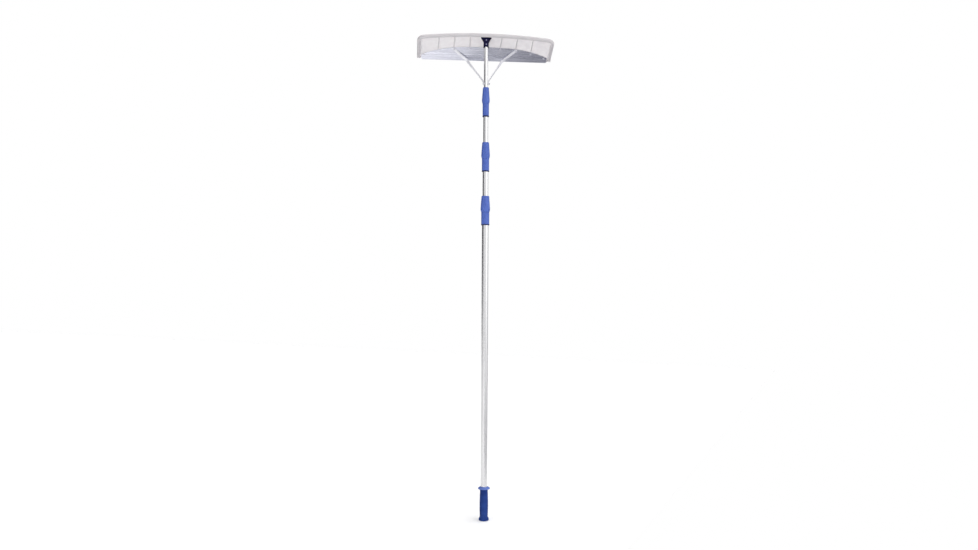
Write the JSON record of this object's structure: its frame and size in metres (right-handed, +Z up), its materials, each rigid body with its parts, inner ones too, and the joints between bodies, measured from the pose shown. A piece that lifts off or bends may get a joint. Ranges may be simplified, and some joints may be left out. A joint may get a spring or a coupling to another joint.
{
  "type": "roof snow rake",
  "caption": "Telescopic twist-lock pole with a moulded grip, carrying a wide curved ribbed blade with a metal wear plate and two braces, for pulling snow off a roof.",
  "frame": {"origin": "centre of the butt plug's flat end face, on the pole's axis", "axes": "+Z up the pole towards the head, +X along the blade, +Y from the pole towards the blade's cutting edge"},
  "size_m": [0.6356, 0.1289, 2.2455],
  "materials": {
    "aluminium": "satin drawn tube and strip",
    "brushed": "brushed along its length",
    "lock_blue": "moulded mid blue, fine texture",
    "grip": "moulded dark blue, slightly soft",
    "navy": "moulded near-black navy",
    "dark_plastic": "moulded black",
    "collet_white": "natural white",
    "poly": "translucent white, ribbed",
    "steel": "bright zinc plate"
  },
  "bodies": {
    "handle": {"grip_sleeve": "grip", "butt_plug": "dark_plastic", "tube_1": "aluminium", "collar_1_body": "lock_blue", "collar_1_collet": "collet_white"},
    "lock_nut_1": {"collar_1_nut": "lock_blue"},
    "section_2": {"tube_2": "aluminium", "end_bush_2": "dark_plastic", "collar_2_body": "lock_blue", "collar_2_collet": "collet_white"},
    "lock_nut_2": {"collar_2_nut": "lock_blue"},
    "section_3": {"tube_3": "aluminium", "end_bush_3": "dark_plastic", "collar_3_body": "lock_blue", "collar_3_collet": "collet_white"},
    "lock_nut_3": {"collar_3_nut": "lock_blue"},
    "head": {"tube_4": "aluminium", "end_bush_4": "dark_plastic", "head_bracket": "navy", "blade_shell": "poly", "wear_plate": "brushed", "brace_left": "aluminium", "brace_right": "aluminium", "plate_rivet_1": "steel", "plate_rivet_2": "steel", "plate_rivet_3": "steel", "plate_rivet_4": "steel", "plate_rivet_5": "steel", "plate_rivet_6": "steel", "plate_rivet_7": "steel", "brace_foot_bolt_1": "steel", "brace_foot_bolt_2": "steel", "brace_foot_nut_1": "steel", "brace_foot_nut_2": "steel", "bracket_screw_1": "steel", "bracket_screw_2": "steel", "pad_screw_1": "steel", "pad_screw_2": "steel", "pad_screw_3": "steel", "brace_pole_bolt": "steel", "brace_pole_washer": "steel", "brace_pole_nut": "steel"}
  },
  "joints": [
    {"name": "lock_1_turn", "type": "hinge", "parent": "handle", "child": "lock_nut_1", "pos_m": [0, 0, 1.462], "axis": [0, 0, 1], "range_deg": [0, 120]},
    {"name": "section_2_slide", "type": "slide", "parent": "handle", "child": "section_2", "axis": [0, 0, 1], "range_m": [-0.112, 1.1]},
    {"name": "lock_2_turn", "type": "hinge", "parent": "section_2", "child": "lock_nut_2", "pos_m": [0, 0, 1.71], "axis": [0, 0, 1], "range_deg": [0, 120]},
    {"name": "section_3_slide", "type": "slide", "parent": "section_2", "child": "section_3", "axis": [0, 0, 1], "range_m": [-0.118, 1.2]},
    {"name": "lock_3_turn", "type": "hinge", "parent": "section_3", "child": "lock_nut_3", "pos_m": [0, 0, 1.964], "axis": [0, 0, 1], "range_deg": [0, 120]},
    {"name": "head_slide", "type": "slide", "parent": "section_3", "child": "head", "axis": [0, 0, 1], "range_m": [-0.008, 1.41]}
  ]
}
